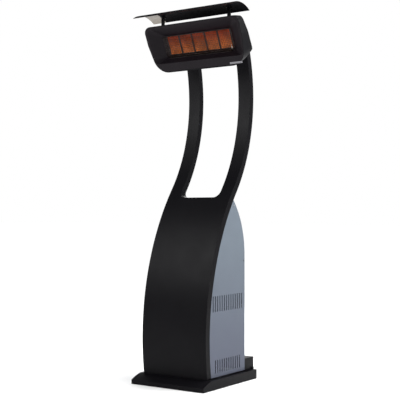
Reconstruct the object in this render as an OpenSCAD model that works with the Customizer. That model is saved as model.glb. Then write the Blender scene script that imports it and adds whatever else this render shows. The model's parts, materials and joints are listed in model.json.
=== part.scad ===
// Portable gas heater: a tiled radiant burner with a rain visor, held over a bow-shaped steel
// frame on a vented bottle cabinet and a wheeled base.
// X runs across the heater, -Y is the side that radiates, Z is up.
// The origin is the centre of the base's footprint, on the floor.

/* [Base] */
// Width of the base, across the heater
base_w = 531; // [520:1:560]
// Depth of the base, front to back
base_d = 592; // [592:1:610]
// Height of the base
base_h = 57.5; // [56:0.5:60]
// Height of the upright lip at the front of the base
lip_h = 26; // [18:1:34]
// Thickness of the base plate, which is also the ballast
plate_t = 10; // [8:1:14]

/* [Cabinet] */
// Width of the cabinet and of the frame
cabinet_w = 470; // [466:1:476]
// How far the cabinet's back stands behind the centre of the base
cabinet_back = 202; // [200:1:204]
// Height of the lower edge of the rear door
door_bottom = 146; // [142:1:160]
// Height of the upper edge of the rear door
door_top = 735; // [700:1:745]
// Height at which the cabinet's back begins to curve forward
crown_z = 785; // [775:1:790]
// Radius of the curve at the top of the cabinet's back
crown_r = 500; // [495:1:505]
// Height of the gap under the side panels
toe_gap = 6; // [3:1:10]
// Thickness of the side panels, the door and the covers
sheet_t = 2; // [1.5:0.5:2.5]

/* [Frame] */
// Depth of the frame's section
frame_t = 41; // [39:1:43]
// Width of each post
post_w = 86; // [80:1:92]
// Radius of the lower bow, at its front face
bow_r = 1526; // [1520:1:1532]
// Height at which the lower bow stands furthest forward
bow_z = 278; // [274:1:282]
// How far forward the lower bow stands there
bow_y = 227; // [225:1:229]
// Height at which the upper bow stands furthest back
crest_z = 1771; // [1768:1:1775]
// How far back the posts' front face stands there
crest_y = 268; // [266:1:270]
// Height of the floor of the gap between the posts
gap_floor = 1136; // [1125:1:1145]
// Corner radius of that gap
gap_corner = 40; // [30:1:45]
// Angle at which the posts end, on the upper bow
post_end = 20; // [19:0.5:21]

/* [Burner head] */
// Width of the burner head
head_w = 708; // [700:1:716]
// Height of the head, measured along its sloping face
head_h = 305; // [303:1:307]
// Angle between the face and the vertical, facing down
head_lean = 25; // [24:0.5:26]
// How far the lower edge of the face stands behind the base's centre
face_y = 60; // [58:1:62]
// Height of the lower edge of the face
face_z = 1940; // [1938:1:1942]
// Width of one tile
tile_w = 89; // [84:1:90]
// Height of one tile
tile_h = 132; // [128:1:134]
// Distance from one tile to the next
tile_pitch = 95.6; // [95:0.1:97]
// Depth of the tiles behind the face
tile_depth = 64; // [62:1:65]

/* [Visor] */
// Width of the visor
visor_w = 728; // [720:1:736]
// Thickness of the visor sheet
visor_t = 2.5; // [2:0.5:3]

/* [Controls] */
// Angle of the control panel up the curve of the rear cover
control_angle = 18; // [16:1:20]
// Radius of the control knob
knob_r = 22; // [18:1:24]
// Radius of the igniter button
button_r = 8; // [7:0.5:9]
// Travel of the igniter button
button_travel = 5; // [3:0.5:5]

/* [Wheels] */
// Radius of the wheels
wheel_r = 60; // [57:0.5:60]
// Width of the wheels
wheel_w = 36; // [30:1:40]
// Distance of each wheel's middle from the centre line
wheel_x = 190; // [189:1:190]
// How far the axle stands behind the centre of the base
axle_y = 292; // [290:1:293]
// Radius of the axle
axle_r = 5; // [4:0.5:6]

/* [Fits] */
// Radial clearance of a running fit
running = 0.05; // [0.02:0.01:0.1]
// Clearance between neighbouring pieces
gap = 0.4; // [0.3:0.1:0.6]

/* [Hidden] */
$fn = 96;
cut = 1; // how far a cutting shape passes the face it cuts
half_w = cabinet_w / 2;
cover_t = 3;
wheel_lift = 5; // the wheels touch the floor only when the heater is tipped back
foot_z = base_h + toe_gap;
axle_z = wheel_r + wheel_lift;

// The two bows touch, which sets the radius of the upper one.
bow_cy = bow_r - bow_y;
bow_run = bow_cy - crest_y;
bow_rise = crest_z - bow_z;
crest_r = (pow(bow_run, 2) + pow(bow_rise, 2) - pow(bow_r, 2)) / (2 * (bow_r - bow_run));
crest_cy = crest_y - crest_r;
join_angle = asin(bow_rise / (bow_r + crest_r));
foot_angle = asin((base_h - bow_z) / bow_r);

// The wall of the frame's sections, and the front skin
wall = 3;
sleeve_angle = 4;

// The curve at the back of the cabinet meets the frame at this angle.
crown_cy = cabinet_back - crown_r;
span = sqrt(pow(bow_cy - crown_cy, 2) + pow(crown_z - bow_z, 2));
span_angle = atan2(crown_z - bow_z, bow_cy - crown_cy);
frame_back_r = bow_r - frame_t;
crown_end = acos((pow(crown_r, 2) + pow(span, 2) - pow(frame_back_r, 2)) / (2 * crown_r * span))
            - span_angle;

// Base
ramp_steps = 8;
ramp_bulge = 3;
notch_w = 46;
notch_y = 226;
screw_r = 2.5;
screw_head = 2;
upstand_w = 280;
upstand_t = 6;
upstand_h = 32;
base_screw_x = 120;
base_screw_z = 22;

// Frame
tip_z = crown_z + crown_r * sin(crown_end);
tip_angle = asin((tip_z - bow_z) / frame_back_r) + 0.3;
seam_angle = 0.05;
end_plate_angle = 0.4;
cap_angle = 0.35;
crossbar_angle = 17;
crossbar_d = 31;
crossbar_h = 44;

// Vents and screws of the side panels
slot_pitch = 24.3;
slot_w = 8;
vent_y = 9;
upper_vent_z = 450;
upper_vent_h = 96;
lower_vent_z = 86;
lower_vent_h = 80;
upper_slots = 14;
lower_slots = 12;
tip_screw_y = 78;
tip_screw_z = 1084;
screw_reach = 10;

// Rear cover and door
door_gap = 3;
cover_stop = 0.2;
return_d = 16;
door_x1 = 5 - half_w;
door_x2 = half_w - 3.5;
hinge_z = [250, 630];
hinge_x = 8 - half_w;
hinge_y = cabinet_back + 5.5;
knuckle_r = 4.5;
knuckle_h = 24;
pin_r = 2;
leaf_w = 18;
leaf_t = 3;
strap_x = sheet_t + gap / 2 - half_w;
strap_t = 1.4;
strap_d = 30;
handle_x = 190;
handle_z = 440;
handle_h = 130;
handle_r = 5;
handle_out = 30;
catch_w = 16;
catch_d = 16;
door_vent_up = 40;
pin_head = 1.5;

// Gas train
bottle_y = 5;
bottle_r = 157;
ring_h = 15;
ring_gap = 3;
ring_t = 3;
can_r = 27;
can_t = 22;
dome_h = 8;
inlet_r = 8;
inlet_h = 18;
inlet_z = -36;
nut_r = 16;
nut_h = 22;
stub_h = 20;
regulator_at = [-190, 60, 620];
hose_r = 6;
tail_r = 4.5;
tail_depth = 8;
clip_r = 8.5;
clip_w = 30;
clip_h = 60;
clip_t = 3;
clip_back = 2;
clip_low = -20;
clip_shelf = 28;
pipe_r = 5;
pipe_x = half_w - post_w / 2;
valve_x = -35;
valve_w = 44;
valve_front = -12;
valve_back = -60;
valve_port = -47;
hose_tail = 14;
pipe_nut = 12;
pipe_nut_r = pipe_r + 2.5;
valve_boss_r = 10;
valve_boss_h = 5;
switch_at = [172, -118];
switch_box = [44, 56, 24];
switch_dome_r = 16;
switch_dome_h = 10;

// Control panel
fascia_w = 150;
fascia_h = 80;
fascia_depth = 9;
fascia_front = 3;
stem_r = 4;
button_x = 40;
button_root = 10;
button_h = 18;
bezel_h = 2.5;
spark_w = 38;
spark_h = 28;
stem_back = 20;
stem_reach = 17;
knob_h = 22;
knob_flange = 6;
knob_rib = 6;
knob_foot = 2;
knob_taper = 5;
button_tip = 1.5;

// A point behind the control panel, x across and depth out of the rear cover
function behind_panel(x, depth) = [
    x,
    crown_cy + (crown_r + depth) * cos(control_angle),
    crown_z + (crown_r + depth) * sin(control_angle)
];
hose_start = behind_panel(valve_x - valve_w / 2 - hose_tail + tail_depth, valve_port);
pipe_start = behind_panel(valve_x + valve_w / 2 + pipe_nut - tail_depth, valve_port);
hose_route = [
    hose_start, hose_start - [26, 0, 0], [-138, 130, 908], [-175, 115, 870], [-190, 92, 815],
    [-194, 74, 760], [-191, 63, 710], [-190, 60, 676], regulator_at + [0, 0, 40 - tail_depth]
];
pipe_route = [
    pipe_start, pipe_start + [36, 0, 0], [90, 126, 935], [140, 106, 952], [174, 78, 985],
    [189, 48, 1030], [192, 33, 1068]
];

// Wheels
bracket_w = 90;
bracket_front = cabinet_back + 2;
bracket_back = base_d / 2 + 10;
bracket_top = 134;
bead_r = 4;
rim_r = 45;
hub_reach = notch_w / 2 - 2 * gap;
collar_r = axle_r + 2.2;
boss_r = axle_r + 6;
web_half = 5;
rim_t = 5;
rim_in = 3;
hub_holes = 6;
hub_hole_r = 8;
hub_hole_at = 0.55 * rim_r;
cap_h = 8;
axle_out = 7;
shoulder = 4;
groove_w = 2;
groove_d = 3;
groove_pitch = 8;

// Head: outline, casing and the dish in front of the tiles
tile_count = 5;
tile_t = 13;
tile_z = 158;
top_corner = 45;
low_corner = 100;
mid_corner = 60;
mid_up = 190;
taper = 13;
chin_in = 112;
chin_up = 62;
crest_in = 48;
crest_up = 289;
casing_lip = 6;
lip_low = 8;
lip_high = head_h - 4;
mouth_x = 336;
mouth_z1 = 60;
mouth_z2 = 292;
mouth_corner = 34;
field_x = 246;
field_z1 = 95;
field_z2 = 221;
dish_depth = 60;
dish_t = 1.5;
lip_in = 26;
lip_slope = (field_z1 - mouth_z1) / dish_depth;
lip_side = 10;
lip_up = 1.5;
lip_t = 1.5;
frame_in = 0.3;
frame_sheet = 2;
frame_side = 8;
frame_edge = 4;
field_corner = 6;
plenum_side = 10;
plenum_edge = 6;
plenum_back = 3;
window_w = 84;
window_h = 114;
screen_in = 44;
screen_pitch = 16;
screen_columns = 32;
screen_rows = 8;
wire = 1.6;
electrode_x = 232;
electrode_z = 96;
electrode_in = 7;
electrode_r = 3.5;
electrode_h = 16;
spark_tip_r = 1.2;
spark_tip_h = 14;
badge_x = 224;
badge_z = 12;
badge_w = 90;
badge_h = 12;
badge_t = 1.1;
badge_out = 1.2;

// Burner housing and the head's pivot
housing_w = 524;
housing_z1 = 82;
housing_z2 = 236;
housing_front = 53;
housing_back = 118;
pivot_in = 150;
pivot_up = 120;
pivot_y = face_y + pivot_in * cos(head_lean) - pivot_up * sin(head_lean);
pivot_z = face_z + pivot_in * sin(head_lean) + pivot_up * cos(head_lean);
yoke_z1 = 90;
yoke_z2 = 150;
ear_x = 110;
ear_t = 5;
ear_r = 16;
bracket_h = 36;
bolt_r = 5;
crossbar_y = crest_cy + (crest_r + frame_t / 2) * cos(crossbar_angle);
crossbar_z = crest_z + (crest_r + frame_t / 2) * sin(crossbar_angle);
supply_x = 60;
swivel_x = 6;
swivel_r = 10;
swivel_end = 20;
injector_r = 8;
injector_in = 96;
bolt_head_r = 9;
bolt_head_h = 6;
bolt_nut_h = 7;
bolt_nut_in = 14;
bolt_in = 16;
elbow_bend = 20;
plug_w = 20;
plug_d = 18;
supply_angle = atan2(crossbar_z - pivot_z, crossbar_y - pivot_y);
supply_run = norm([crossbar_y - pivot_y, crossbar_z - pivot_z]) - 9;

// Visor, an arc that leans neither way
visor_r = 196.6;
visor_cy = -53.5;
visor_cz = 2296 - visor_r;
visor_half = 33.1;
stay_x = 250;
stay_y = 0;
stay_w = 26;
stay_t = 3;
stay_gap = 0.15;
stay_foot_z = 2202;
foot_up1 = 243;
foot_up2 = 284;
stay_spread = 5;
stay_screw_x = 7;
stay_screw_r = 4.5;
stay_screw_h = 2;
stay_angle = 90 - asin((stay_y + stay_t / 2 - visor_cy) / visor_r);

// ---- placing -------------------------------------------------------------

// Extrudes a side view, drawn as [Y, Z], to a width across X, centred on x
module across(width, x = 0) {
    translate([x, 0, 0]) rotate([90, 0, 90]) linear_extrude(width, center = true) children();
}

// Extrudes a front view, drawn as [X, Z], from y1 back to y2
module through(y1, y2) {
    translate([0, y2, 0]) rotate([90, 0, 0]) linear_extrude(y2 - y1) children();
}

// A cylinder along X from x1 to x2
module rod_x(r, x1, x2) {
    translate([x1, 0, 0]) rotate([0, 90, 0]) cylinder(r = r, h = x2 - x1);
}

// A stretch of a ring about an axis along X. Angles run from +Y towards +Z, and the section is
// drawn as [distance from the axis, X].
module bow(cy, cz, from, to) {
    translate([0, cy, cz]) rotate([from, 0, 0]) rotate([90, 0, 90])
        rotate_extrude(angle = to - from) children();
}

// The lower bow, between two angles above its axis
module lower_bow(from, to) {
    bow(bow_cy, bow_z, 180 - to, 180 - from) children();
}

// The upper bow, between two angles above its axis
module upper_bow(from, to) {
    bow(crest_cy, crest_z, from, to) children();
}

// The head's own frame: X across, Y into the head, Z up the face, from the face's lower edge
module on_head() {
    translate([0, face_y, face_z]) rotate([head_lean, 0, 0]) children();
}

// The control panel's frame: Z points out of the rear cover
module on_controls() {
    translate([0, crown_cy + crown_r * cos(control_angle), crown_z + crown_r * sin(control_angle)])
        rotate([control_angle - 90, 0, 0]) children();
}

// The crossbar's frame: Y points away from the upper bow's axis, Z up along the posts
module on_crossbar() {
    translate([0, crest_cy, crest_z]) rotate([crossbar_angle, 0, 0])
        translate([0, crest_r + frame_t / 2, 0]) children();
}

// Both sides of the heater
module both() {
    children();
    mirror([1, 0, 0]) children();
}

// ---- tubes along a route -------------------------------------------------

function unit(v) = v / norm(v);

// A smooth curve through points, in steps pieces between each two
function smooth(points, steps) = [
    for (i = [0:len(points) - 2])
        let (a = points[max(i - 1, 0)], b = points[i], c = points[i + 1],
             d = points[min(i + 2, len(points) - 1)])
        for (s = [0:steps - 1])
            let (t = s / steps)
            (2 * b + t * (c - a) + t * t * (2 * a - 5 * b + 4 * c - d)
             + t * t * t * (3 * b - a - 3 * c + d)) / 2,
    points[len(points) - 1]
];

function tangent(p, i) = unit(p[min(i + 1, len(p) - 1)] - p[max(i - 1, 0)]);

// The part of v square to t
function square_to(v, t) = unit(v - (v * t) * t);

// A tube of eight sides along a list of points
module tube(route, r, start = [0, 0, 1]) {
    sides = 8;
    n = len(route);
    normals = [
        for (i = 0, v = square_to(start, tangent(route, 0)); i < n;
             i = i + 1, v = square_to(v, tangent(route, min(i, n - 1)))) v
    ];
    rings = [
        for (i = [0:n - 1], k = [0:sides - 1])
            let (a = 360 * k / sides, u = normals[i], w = cross(tangent(route, i), u))
            route[i] + r * (cos(a) * u + sin(a) * w)
    ];
    walls = [
        for (i = [0:n - 2], k = [0:sides - 1])
            let (j = (k + 1) % sides)
            [i * sides + j, i * sides + k, (i + 1) * sides + k, (i + 1) * sides + j]
    ];
    first = [for (k = [0:sides - 1]) k];
    last = [for (k = [0:sides - 1]) n * sides - 1 - k];
    polyhedron(rings, concat(walls, [first, last]));
}

// ---- base ----------------------------------------------------------------

function rise(t, low, high) = low + t * (high - low);

// Side view of the base: an upright lip, then a slightly rounded ramp up to the panel's foot
module base_outline(inset) {
    front = -base_d / 2 + inset;
    foot = bow_cy - bow_r * cos(foot_angle) + inset;
    top = base_h - inset;
    ramp = [
        for (s = [0:ramp_steps])
            let (t = s / ramp_steps)
            [front + t * (foot - front), rise(t, lip_h - inset, top) + ramp_bulge * sin(180 * t)]
    ];
    polygon(concat([[front, 0]], ramp, [[base_d / 2 - inset, top], [base_d / 2 - inset, 0]]));
}

// Room for the wheels at the back of the base, grown by grow
module wheel_notches(grow) {
    both() translate([wheel_x - notch_w / 2 - grow, notch_y - grow, -cut])
        cube([notch_w + 2 * grow, base_d, base_h + 2 * cut]);
}

module base_cover() {
    color("#1d1d20") difference() {
        across(base_w) base_outline(0);
        wheel_notches(0);
        difference() {
            translate([0, 0, -cut]) across(base_w - 2 * cover_t) base_outline(cover_t);
            wheel_notches(cover_t);
        }
        base_screw_places() cylinder(r = screw_r, h = base_d);
    }
}

module base_plate() {
    inset = cover_t + gap;
    color("#2a2a2c") difference() {
        union() {
            difference() {
                translate([-base_w / 2 + inset, -base_d / 2 + inset, 0])
                    cube([base_w - 2 * inset, base_d - 2 * inset, plate_t]);
                wheel_notches(inset);
            }
            translate([-upstand_w / 2, base_d / 2 - inset - upstand_t, 0])
                cube([upstand_w, upstand_t, upstand_h]);
        }
        base_screw_places() cylinder(r = screw_r, h = base_d);
    }
}

// Frames of the screws in the back of the base, pointing out of it, from inside the upstand
module base_screw_places() {
    for (x = [-base_screw_x, -base_screw_x / 3, base_screw_x / 3, base_screw_x])
        translate([x, base_d / 2 - cover_t - gap - upstand_t, base_screw_z]) rotate([-90, 0, 0])
            children();
}

module base_screws() {
    reach = cover_t + gap + upstand_t;
    color("#3a3a3c") base_screw_places() {
        cylinder(r = screw_r, h = reach);
        translate([0, 0, reach]) cylinder(r = 2 * screw_r, h = screw_head);
    }
}

// ---- frame ---------------------------------------------------------------

// The gap between the posts, right through the frame, grown by grow
module post_gap(grow) {
    w = cabinet_w - 2 * post_w + 2 * grow;
    r = gap_corner + grow;
    floor_z = gap_floor - grow;
    through(-base_d, base_d) {
        translate([-w / 2, floor_z + r]) square([w, base_d]);
        translate([-w / 2 + r, floor_z]) square([w - 2 * r, r + cut]);
        for (x = [r - w / 2, w / 2 - r]) translate([x, floor_z + r]) circle(r);
    }
}

// Folded panel, open at its back as far up as the cabinet and closed round each post's root
module front_panel() {
    color("#1d1d20") difference() {
        lower_bow(foot_angle, join_angle)
            translate([frame_back_r, -half_w]) square([frame_t, cabinet_w]);
        difference() {
            union() {
                lower_bow(foot_angle - cut, tip_angle)
                    translate([frame_back_r - cut, wall - half_w])
                    square([frame_t - wall + cut, cabinet_w - 2 * wall]);
                lower_bow(tip_angle - cut, join_angle + cut)
                    translate([frame_back_r + wall, wall - half_w])
                    square([frame_t - 2 * wall, cabinet_w - 2 * wall]);
            }
            post_gap(wall);
        }
        post_gap(0);
    }
}

// The section of a post, set in by inset all round, drawn as [distance from the axis, X]
module post_section(r, inset) {
    translate([r + inset, half_w - post_w + inset])
        square([frame_t - 2 * inset, post_w - 2 * inset]);
}

// One post, with the sleeve that plugs it into the front panel
module post() {
    difference() {
        union() {
            upper_bow(-join_angle, post_end) post_section(crest_r, 0);
            lower_bow(join_angle - sleeve_angle, join_angle)
                post_section(frame_back_r, wall + gap);
        }
        upper_bow(end_plate_angle - join_angle, post_end + cut) post_section(crest_r, wall);
        upper_bow(-join_angle - seam_angle, end_plate_angle - join_angle + seam_angle)
            post_section(crest_r, 3 * wall);
        lower_bow(join_angle - sleeve_angle - cut, join_angle + seam_angle)
            post_section(frame_back_r, 3 * wall);
    }
}

module left_post() { color("#1d1d20") mirror([1, 0, 0]) post(); }

// The right post has a hole through which the gas pipe passes into the crossbar.
module right_post() {
    color("#1d1d20") difference() {
        post();
        on_crossbar() rod_x(pipe_r + 3, half_w - post_w - cut, half_w - post_w + wall + cut);
    }
}

module post_caps() {
    color("#101012") both() {
        upper_bow(post_end, post_end + cap_angle) post_section(crest_r, 0);
        upper_bow(post_end - 2 * cap_angle, post_end) post_section(crest_r, wall + gap);
    }
}

// A box tube between the posts that carries the head
module post_crossbar() {
    w = cabinet_w - 2 * post_w - 2 * gap;
    color("#1d1d20") difference() {
        on_crossbar() difference() {
            cube([w, crossbar_d, crossbar_h], center = true);
            cube([w + 2 * cut, crossbar_d - 2 * wall, crossbar_h - 2 * wall], center = true);
        }
        supply_bore();
    }
}

// The way of the supply elbow into the crossbar
module supply_bore() {
    translate([supply_x, pivot_y, pivot_z]) rotate([supply_angle - 90, 0, 0])
        cylinder(r = pipe_r + 2, h = supply_run);
}

// ---- cabinet -------------------------------------------------------------

// A row of upright slots, drawn as a front view, between the heights z1 and z2
module slots(count, z1, z2) {
    for (i = [0:count - 1]) translate([(i - (count - 1) / 2) * slot_pitch, 0]) {
        translate([-slot_w / 2, z1 + slot_w / 2]) square([slot_w, z2 - z1 - slot_w]);
        for (z = [z1 + slot_w / 2, z2 - slot_w / 2]) translate([0, z]) circle(slot_w / 2);
    }
}

// Side view of the cabinet behind the frame
module cabinet_outline() {
    intersection() {
        translate([bow_cy, bow_z]) circle(frame_back_r - gap);
        union() {
            translate([-base_d / 2, foot_z])
                square([base_d / 2 + cabinet_back, crown_z - foot_z]);
            intersection() {
                translate([crown_cy, crown_z]) circle(crown_r);
                translate([-base_d / 2, crown_z]) square([base_d, crown_r]);
            }
        }
    }
}

// Right side panel, vented high up for the burner controls and low down for leaked gas
module side_panel() {
    color("#a9b3bf") across(sheet_t, half_w - sheet_t / 2) difference() {
        cabinet_outline();
        translate([vent_y, 0]) slots(upper_slots, upper_vent_z, upper_vent_z + upper_vent_h);
        translate([vent_y, 0]) slots(lower_slots, lower_vent_z, lower_vent_z + lower_vent_h);
        translate([tip_screw_y, tip_screw_z]) circle(screw_r);
    }
}

module right_side_panel() { side_panel(); }

module left_side_panel() { mirror([1, 0, 0]) side_panel(); }

module side_panel_screws() {
    color("#c9ccd0") both() translate([0, tip_screw_y, tip_screw_z]) {
        rod_x(screw_r, half_w - screw_reach, half_w);
        rod_x(2 * screw_r, half_w, half_w + screw_head);
    }
}

// Fixed cover over the curved top of the cabinet's back
module rear_cover() {
    w = cabinet_w - 2 * sheet_t - 2 * gap;
    color("#1d1d20") difference() {
        union() {
            translate([-w / 2, cabinet_back - sheet_t, door_top + door_gap])
                cube([w, sheet_t, crown_z - door_top - door_gap]);
            bow(crown_cy, crown_z, 0, crown_end - cover_stop)
                translate([crown_r - sheet_t, -w / 2]) square([sheet_t, w]);
        }
        on_controls() translate([0, 0, -fascia_depth])
            cube([fascia_w + 2 * gap, fascia_h + 2 * gap, 4 * fascia_depth], center = true);
    }
}

// Fixed panel between the base and the door
module rear_sill() {
    w = cabinet_w - 2 * sheet_t - 2 * gap;
    color("#1d1d20") {
        translate([-w / 2, cabinet_back - sheet_t, foot_z])
            cube([w, sheet_t, door_bottom - door_gap - foot_z]);
        translate([-w / 2, cabinet_back - return_d, door_bottom - door_gap - sheet_t])
            cube([w, return_d, sheet_t]);
    }
}

// Hinged door over the bottle bay, with a folded edge at its top and bottom and a row of vents
module rear_door() {
    color("#1d1d20") {
        through(cabinet_back - sheet_t, cabinet_back) difference() {
            translate([door_x1, door_bottom]) square([door_x2 - door_x1, door_top - door_bottom]);
            slots(lower_slots, door_bottom + door_vent_up,
                  door_bottom + door_vent_up + lower_vent_h);
        }
        for (z = [door_bottom, door_top - sheet_t])
            translate([door_x1 + return_d, cabinet_back - return_d, z])
                cube([door_x2 - door_x1 - 3 * return_d, return_d - sheet_t, sheet_t]);
        for (z = hinge_z) door_leaf(z);
    }
}

// Knuckle on the door, with a short leaf welded to the door's outer face
module door_leaf(z) {
    difference() {
        translate([hinge_x, hinge_y, z - knuckle_h / 2]) {
            cylinder(r = knuckle_r, h = knuckle_h);
            translate([0, cabinet_back - hinge_y, 0])
                cube([leaf_w, leaf_t, knuckle_h]);
        }
        hinge_bore(z);
    }
}

module hinge_bore(z) {
    translate([hinge_x, hinge_y, z - 2 * knuckle_h])
        cylinder(r = pin_r + running, h = 4 * knuckle_h);
}

// Fixed halves of the hinges: a knuckle above and below each of the door's, on a strap along the
// inner face of the left side panel
module door_hinges() {
    color("#1d1d20") for (z = hinge_z) difference() {
        for (s = [-1, 1])
            translate([0, 0, z + s * (knuckle_h + gap) - knuckle_h / 2]) {
                translate([hinge_x, hinge_y, 0]) cylinder(r = knuckle_r, h = knuckle_h);
                translate([strap_x, hinge_y + knuckle_r - leaf_t, 0])
                    cube([hinge_x - strap_x, leaf_t, knuckle_h]);
                translate([strap_x, hinge_y + knuckle_r - strap_d, 0])
                    cube([strap_t, strap_d, knuckle_h]);
            }
        translate([hinge_x, hinge_y, z - 2 * knuckle_h]) cylinder(r = pin_r, h = 4 * knuckle_h);
    }
}

module door_hinge_pins() {
    color("#b8bcc0") for (z = hinge_z)
        translate([hinge_x, hinge_y, z - 1.5 * knuckle_h - 2 * gap]) {
            cylinder(r = pin_r, h = 3 * knuckle_h + 4 * gap);
            translate([0, 0, 3 * knuckle_h + 4 * gap]) cylinder(r = pin_r + 1, h = pin_head);
        }
}

// A bar handle on the free side of the door
module door_handle() {
    bend = handle_out / 2;
    color("#8f959c") translate([handle_x, cabinet_back, handle_z]) for (s = [-1, 1]) {
        translate([0, 0, s * handle_h / 2]) rotate([-90, 0, 0])
            cylinder(r = handle_r, h = handle_out - bend);
        translate([0, handle_out - bend, s * (handle_h / 2 - bend)]) rotate([0, -90, 0])
            rotate([0, 0, s > 0 ? 0 : 90])
            rotate_extrude(angle = 90) translate([bend, 0]) circle(handle_r);
        translate([0, handle_out, s > 0 ? 0 : bend - handle_h / 2])
            cylinder(r = handle_r, h = handle_h / 2 - bend);
    }
}

// Magnet on the right side panel that holds the door shut
module door_catch() {
    color("#d8d8d4")
        translate([half_w - sheet_t - catch_w, cabinet_back - sheet_t - gap - catch_d, handle_z])
            cube([catch_w - gap / 2, catch_d, 2 * catch_w]);
}

// ---- gas -----------------------------------------------------------------

// Ring that stops the gas bottle from sliding
module bottle_ring() {
    color("#1d1d20") translate([0, bottle_y, base_h]) difference() {
        cylinder(r = bottle_r + ring_gap + ring_t, h = ring_h);
        translate([0, 0, -cut]) cylinder(r = bottle_r + ring_gap, h = ring_h + 2 * cut);
    }
}

// Regulator, parked on its clip: a diaphragm can, an inlet with a hand nut and a hose tail
module gas_regulator() {
    color("#a7a9ad") translate(regulator_at) {
        rotate([90, 0, 0]) cylinder(r = can_r, h = can_t, center = true);
        rotate([90, 0, 0]) translate([0, 0, can_t / 2])
            cylinder(r1 = can_r - 3, r2 = can_r - 15, h = dome_h);
        translate([0, 0, stub_h]) cylinder(r = tail_r, h = stub_h);
        translate([0, 0, inlet_z]) cylinder(r = inlet_r, h = inlet_h);
        translate([0, 0, inlet_z - nut_h]) cylinder(r = nut_r, h = nut_h, $fn = 12);
    }
}

// Clip for the regulator on the left side panel
module regulator_clip() {
    x = sheet_t - half_w + gap / 2;
    color("#b8bcc0") {
        translate([x, regulator_at[1] - clip_w / 2, regulator_at[2] + clip_low])
            cube([clip_back, clip_w, clip_h]);
        translate([x, regulator_at[1] - clip_w / 2, regulator_at[2] + clip_shelf]) difference() {
            cube([regulator_at[0] - x + 12, clip_w, clip_t]);
            translate([regulator_at[0] - x, clip_w / 2, -cut])
                cylinder(r = clip_r, h = clip_t + 2 * cut);
            translate([regulator_at[0] - x - clip_r, clip_w / 2, -cut])
                cube([2 * clip_r, clip_w, clip_t + 2 * cut]);
        }
    }
}

module gas_hose() {
    color("#26262a") tube(smooth(hose_route, 4), hose_r, [1, 0, 0]);
}

// Control valve behind the control panel, with a hose tail on the left and a pipe nut on the right
module gas_valve() {
    color("#c6a24a") on_controls() difference() {
        union() {
            translate([valve_x - valve_w / 2, -valve_w / 2, valve_back])
                cube([valve_w, valve_w, valve_front - valve_back]);
            translate([valve_x, 0, valve_front - cut])
                cylinder(r = valve_boss_r, h = cut + valve_boss_h);
            translate([0, 0, valve_port]) {
                rod_x(tail_r, valve_x - valve_w / 2 - hose_tail, valve_x);
                rod_x(pipe_nut_r, valve_x, valve_x + valve_w / 2 + pipe_nut);
            }
        }
        translate([valve_x, 0, valve_front - stem_back - gap])
            cylinder(r = stem_r + running, h = 2 * stem_back);
    }
}

// Points of the pipe inside the right post, on the frame's centre line
function on_lower(a) = [
    pipe_x,
    bow_cy - (bow_r - frame_t / 2) * cos(a),
    bow_z + (bow_r - frame_t / 2) * sin(a)
];
function on_upper(a, x) = [
    x,
    crest_cy + (crest_r + frame_t / 2) * cos(a),
    crest_z + (crest_r + frame_t / 2) * sin(a)
];

// Gas pipe from the valve, up inside the right post and into the crossbar
module riser_pipe() {
    riser = concat(
        smooth(pipe_route, 3),
        [for (a = [join_angle - 3.5:1.75:join_angle]) on_lower(a)],
        [for (a = [2 - join_angle:2.5:crossbar_angle - 2]) on_upper(a, pipe_x)],
        [on_upper(crossbar_angle - 0.7, pipe_x - 2),
         on_upper(crossbar_angle - 0.1, pipe_x - 10),
         on_upper(crossbar_angle, pipe_x - 22),
         on_upper(crossbar_angle, supply_x + 12)]
    );
    color("#b4794c") tube(riser, pipe_r, [0, 0, 1]);
}

// Elbow that carries the gas from the crossbar to a swivel on the head's pivot axis
module supply_elbow() {
    bend = elbow_bend;
    color("#c6a24a") {
        translate([0, pivot_y, pivot_z]) rotate([supply_angle, 0, 0]) {
            rod_x(pipe_r, swivel_x, supply_x - bend);
            translate([supply_x - bend, bend, 0]) rotate([0, 0, -90])
                rotate_extrude(angle = 90) translate([bend, 0]) circle(pipe_r);
            translate([supply_x, bend, 0]) rotate([-90, 0, 0])
                cylinder(r = pipe_r, h = supply_run - bend);
        }
        on_crossbar() translate([supply_x, 0, 0]) cube([plug_w, plug_d, plug_d], center = true);
    }
}

// ---- controls ------------------------------------------------------------

// Flat panel set into the curve of the rear cover
module control_panel() {
    color("#2b2c2f") on_controls() difference() {
        translate([0, 0, fascia_front - fascia_depth / 2])
            cube([fascia_w, fascia_h, fascia_depth], center = true);
        translate([valve_x, 0, -fascia_depth]) cylinder(r = stem_r + 1, h = 3 * fascia_depth);
        translate([button_x, 0, -fascia_depth]) cylinder(r = button_r + gap, h = 3 * fascia_depth);
    }
}

module control_knob() {
    color("#141416") on_controls() translate([valve_x, 0, fascia_front + 1]) difference() {
        union() {
            cylinder(r = knob_r, h = knob_flange);
            translate([0, 0, knob_flange])
                cylinder(r1 = knob_r - knob_foot, r2 = knob_r - knob_taper, h = knob_h - knob_flange);
            translate([-knob_rib / 2, 0, knob_h - knob_rib])
                cube([knob_rib, knob_r - knob_taper, 1.5 * knob_rib]);
        }
        translate([0, 0, -cut]) cylinder(r = stem_r, h = stem_reach + cut);
    }
}

module valve_stem() {
    color("#b8bcc0") on_controls() translate([valve_x, 0, valve_front - stem_back])
        cylinder(r = stem_r, h = stem_back - valve_front + fascia_front + 1 + stem_reach);
}

module igniter_button() {
    color("#a01c1c") on_controls() translate([button_x, 0, fascia_front - button_root]) {
        cylinder(r = button_r, h = button_h);
        translate([0, 0, button_h])
            cylinder(r1 = button_r, r2 = button_r - button_tip, h = button_tip);
    }
}

module igniter_bezel() {
    color("#3a3b3f") on_controls() translate([button_x, 0, fascia_front]) difference() {
        cylinder(r = button_r + 5, h = bezel_h);
        translate([0, 0, -cut]) cylinder(r = button_r + gap, h = bezel_h + 2 * cut);
    }
}

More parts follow.
